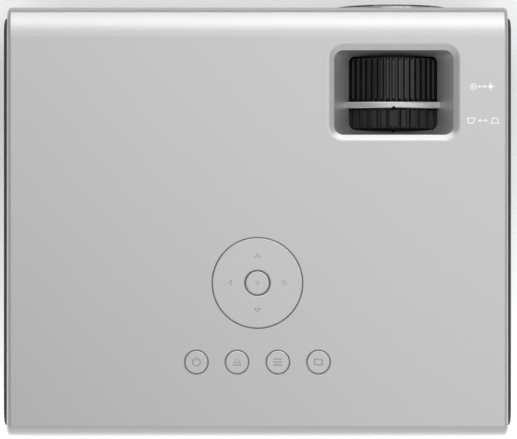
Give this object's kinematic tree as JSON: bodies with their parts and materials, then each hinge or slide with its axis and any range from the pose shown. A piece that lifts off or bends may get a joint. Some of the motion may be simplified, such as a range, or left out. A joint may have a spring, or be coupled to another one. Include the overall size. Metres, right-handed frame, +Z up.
{
  "type": "projector with built-in disc player",
  "caption": "Flat silver tabletop projector with a disc tray in front, a recessed well over ribbed focus and keystone rings, and a rocking direction ring with round keys.",
  "frame": {"origin": "middle of the object's footprint, at the level the feet stand on", "axes": "-Y is the front, where the lens and the tray are; +X is the disc side; +Z is up"},
  "size_m": [0.2394, 0.2038, 0.08],
  "materials": {
    "silver_paint": "satin silver lacquer over moulded plastic",
    "key_silver": "fine satin silver lacquer",
    "dark_plastic": "fine-textured dark grey",
    "black_gloss": "polished black",
    "black_plastic": "matt black",
    "rubber": "matt",
    "steel": "ground",
    "zinc_sheet": "zinc-plated sheet",
    "aluminium": "extruded, fine grain",
    "anodised_black": "black anodised, fine turned",
    "brass": "turned",
    "glass": "polished, coated",
    "smoked_window": "smoked, glossy",
    "circuit_board": "green laminate"
  },
  "bodies": {
    "case": {"top_cover": "silver_paint", "bottom_cover": "dark_plastic", "disc_side_panel": "dark_plastic", "lens_side_panel": "dark_plastic", "rubber_feet": "rubber", "case_screws": "steel", "tripod_insert": "brass", "ir_window": "smoked_window", "lens_bezel": "black_gloss", "lens_tube": "black_plastic", "ring_spacers": "black_plastic", "engine_housing": "black_plastic", "engine_lid": "black_plastic", "fresnel_lenses": "glass", "condenser_lens": "glass", "led_module": "aluminium", "heat_sink": "aluminium", "fan_frame": "black_plastic", "speakers": "black_plastic", "drive_chassis": "zinc_sheet", "drive_cover": "zinc_sheet", "nav_bracket": "black_plastic", "key_board": "circuit_board", "key_switches": "black_plastic", "main_board": "circuit_board", "video_socket": "zinc_sheet", "usb_socket": "zinc_sheet", "audio_socket": "black_plastic", "power_socket": "black_plastic"},
    "focus_ring": {"focus_ring": "black_plastic"},
    "lens_barrel": {"lens_barrel": "anodised_black", "cam_pins": "steel", "front_glass": "glass", "rear_glass": "glass"},
    "keystone_ring": {"keystone_ring": "black_plastic"},
    "keystone_slider": {"keystone_slider": "black_plastic"},
    "lcd_carrier": {"lcd_carrier": "black_plastic", "lcd_panel": "glass"},
    "nav_gimbal": {"nav_gimbal": "black_plastic"},
    "nav_ring": {"nav_ring": "key_silver"},
    "centre_button": {"centre_button": "key_silver"},
    "power_button": {"power_button": "key_silver"},
    "open_button": {"open_button": "key_silver"},
    "menu_button": {"menu_button": "key_silver"},
    "source_button": {"source_button": "key_silver"},
    "disc_tray": {"disc_tray": "black_plastic", "tray_bezel": "silver_paint", "spindle_motor": "zinc_sheet", "guide_rods": "steel", "sled_motor": "steel"},
    "tray_slides": {"tray_slides": "steel"},
    "spindle_hub": {"spindle_hub": "black_plastic"},
    "pickup": {"pickup_sled": "aluminium", "pickup_lens": "glass"},
    "lead_screw": {"lead_screw": "steel"},
    "eject_button": {"eject_button": "key_silver"},
    "fan_rotor": {"fan_rotor": "black_plastic"},
    "foot_pad": {"foot_pad": "rubber"},
    "foot_screw": {"foot_screw": "black_plastic"}
  },
  "joints": [
    {"name": "focus_turn", "type": "hinge", "parent": "case", "child": "focus_ring", "pos_m": [-0.0642, -0.06615, 0.044], "axis": [0, 1, 0], "range_deg": [-60, 60]},
    {"name": "lens_focus", "type": "slide", "parent": "case", "child": "lens_barrel", "axis": [0, 1, 0], "range_m": [-0.00501, 0.00501]},
    {"name": "keystone_turn", "type": "hinge", "parent": "case", "child": "keystone_ring", "pos_m": [-0.0642, -0.0476, 0.044], "axis": [0, 1, 0], "range_deg": [-30, 30]},
    {"name": "keystone_shift", "type": "slide", "parent": "case", "child": "keystone_slider", "axis": [0, 1, 0], "range_m": [-0.00205, 0.00205]},
    {"name": "lcd_tilt", "type": "hinge", "parent": "case", "child": "lcd_carrier", "pos_m": [-0.0642, -0.02115, 0.044], "axis": [1, 0, 0], "range_deg": [-5.02, 5.02]},
    {"name": "nav_rock_front_rear", "type": "hinge", "parent": "case", "child": "nav_gimbal", "pos_m": [0, 0.02975, 0.0715], "axis": [1, 0, 0], "range_deg": [-2, 2], "stiffness_Nm_per_rad": 0.3},
    {"name": "nav_rock_left_right", "type": "hinge", "parent": "nav_gimbal", "child": "nav_ring", "pos_m": [0, 0.02975, 0.0715], "axis": [0, 1, 0], "range_deg": [-2, 2], "stiffness_Nm_per_rad": 0.3},
    {"name": "centre_press", "type": "slide", "parent": "case", "child": "centre_button", "axis": [0, 0, -1], "range_m": [0, 0.0008], "stiffness_N_per_m": 400, "springref_m": -0.0008},
    {"name": "power_press", "type": "slide", "parent": "case", "child": "power_button", "axis": [0, 0, -1], "range_m": [0, 0.0008], "stiffness_N_per_m": 400, "springref_m": -0.0008},
    {"name": "open_press", "type": "slide", "parent": "case", "child": "open_button", "axis": [0, 0, -1], "range_m": [0, 0.0008], "stiffness_N_per_m": 400, "springref_m": -0.0008},
    {"name": "menu_press", "type": "slide", "parent": "case", "child": "menu_button", "axis": [0, 0, -1], "range_m": [0, 0.0008], "stiffness_N_per_m": 400, "springref_m": -0.0008},
    {"name": "source_press", "type": "slide", "parent": "case", "child": "source_button", "axis": [0, 0, -1], "range_m": [0, 0.0008], "stiffness_N_per_m": 400, "springref_m": -0.0008},
    {"name": "tray_slide", "type": "slide", "parent": "case", "child": "disc_tray", "axis": [0, -1, 0], "range_m": [0, 0.126]},
    {"name": "slides_follow", "type": "slide", "parent": "case", "child": "tray_slides", "axis": [0, -1, 0], "range_m": [0, 0.0631]},
    {"name": "spindle_turn", "type": "hinge", "parent": "disc_tray", "child": "spindle_hub", "pos_m": [0.045, -0.03515, 0.028], "axis": [0, 0, 1], "continuous": true},
    {"name": "pickup_travel", "type": "slide", "parent": "disc_tray", "child": "pickup", "axis": [0, 1, 0], "range_m": [0, 0.033]},
    {"name": "lead_turn", "type": "hinge", "parent": "disc_tray", "child": "lead_screw", "pos_m": [0.067, 0.00085, 0.0236], "axis": [0, 1, 0], "range_deg": [0, 3961]},
    {"name": "eject_press", "type": "slide", "parent": "disc_tray", "child": "eject_button", "axis": [0, 1, 0], "range_m": [0, 0.0006], "stiffness_N_per_m": 400, "springref_m": -0.0008},
    {"name": "fan_spin", "type": "hinge", "parent": "case", "child": "fan_rotor", "pos_m": [-0.1085, 0.06185, 0.041], "axis": [1, 0, 0], "continuous": true},
    {"name": "foot_lift", "type": "slide", "parent": "case", "child": "foot_pad", "axis": [0, 0, -1], "range_m": [0, 0.008]},
    {"name": "foot_turn", "type": "hinge", "parent": "foot_pad", "child": "foot_screw", "pos_m": [0, -0.07715, 0.003], "axis": [0, 0, 1], "range_deg": [0, 2306]}
  ],
  "couplings": [
    {"joint": "lens_focus", "follows": "focus_turn", "m_per_rad": -0.0047746},
    {"joint": "keystone_shift", "follows": "keystone_turn", "m_per_rad": -0.0039},
    {"joint": "lcd_tilt", "follows": "keystone_turn", "ratio": 0.16667},
    {"joint": "slides_follow", "follows": "tray_slide", "ratio": 0.5},
    {"joint": "lead_turn", "follows": "pickup_travel", "rad_per_m": 2094.4},
    {"joint": "foot_turn", "follows": "foot_lift", "rad_per_m": 5026.5}
  ]
}
